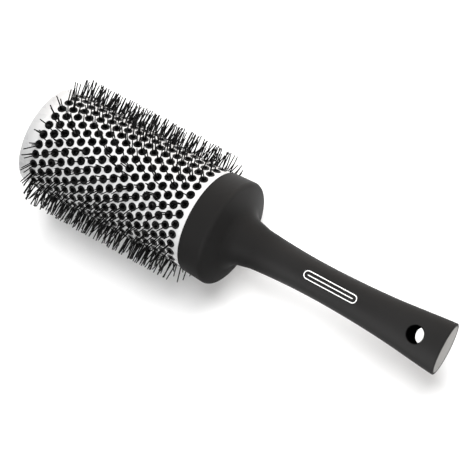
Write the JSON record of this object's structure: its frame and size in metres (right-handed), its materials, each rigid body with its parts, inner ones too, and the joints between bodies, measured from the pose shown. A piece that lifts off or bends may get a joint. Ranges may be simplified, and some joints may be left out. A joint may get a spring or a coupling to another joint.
{
  "type": "round barrel hair brush",
  "caption": "Round vented barrel hair brush: perforated white barrel with bristles all round, slim black soft-touch handle with a hanging hole through its butt.",
  "frame": {"origin": "centre of the hanging hole, on the handle's long axis, midway through its thickness", "axes": "+X along the long axis towards the free end of the barrel; +Z along the hanging hole, square to the handle's flat; +Y completes the right-handed frame, across the handle's width"},
  "size_m": [0.2389, 0.0702, 0.0702],
  "materials": {
    "soft_touch_black": "satin soft-touch",
    "core_plastic": "as moulded",
    "butt_grey": "fine satin",
    "insert_brass": "turned and knurled",
    "hub_plastic": "as moulded",
    "carrier_plastic": "as moulded",
    "white_ceramic": "glossy coating",
    "cap_plastic": "satin",
    "bolt_steel": "plated",
    "stave_plastic": "as moulded",
    "bristle_nylon": "drawn nylon"
  },
  "bodies": {
    "root": {"grip_overmould": "soft_touch_black", "handle_core": "core_plastic", "butt_plug": "butt_grey", "threaded_insert": "insert_brass", "rear_hub": "hub_plastic", "bristle_carrier": "carrier_plastic", "barrel_tube": "white_ceramic", "tip_cap": "cap_plastic", "tie_bolt": "bolt_steel", "bolt_washer": "bolt_steel", "bristle_stave_01": "stave_plastic", "bristle_set_01": "bristle_nylon", "bristle_stave_02": "stave_plastic", "bristle_set_02": "bristle_nylon", "bristle_stave_03": "stave_plastic", "bristle_set_03": "bristle_nylon", "bristle_stave_04": "stave_plastic", "bristle_set_04": "bristle_nylon", "bristle_stave_05": "stave_plastic", "bristle_set_05": "bristle_nylon", "bristle_stave_06": "stave_plastic", "bristle_set_06": "bristle_nylon", "bristle_stave_07": "stave_plastic", "bristle_set_07": "bristle_nylon", "bristle_stave_08": "stave_plastic", "bristle_set_08": "bristle_nylon", "bristle_stave_09": "stave_plastic", "bristle_set_09": "bristle_nylon", "bristle_stave_10": "stave_plastic", "bristle_set_10": "bristle_nylon", "bristle_stave_11": "stave_plastic", "bristle_set_11": "bristle_nylon", "bristle_stave_12": "stave_plastic", "bristle_set_12": "bristle_nylon", "bristle_stave_13": "stave_plastic", "bristle_set_13": "bristle_nylon", "bristle_stave_14": "stave_plastic", "bristle_set_14": "bristle_nylon", "bristle_stave_15": "stave_plastic", "bristle_set_15": "bristle_nylon"}
  },
  "joints": []
}
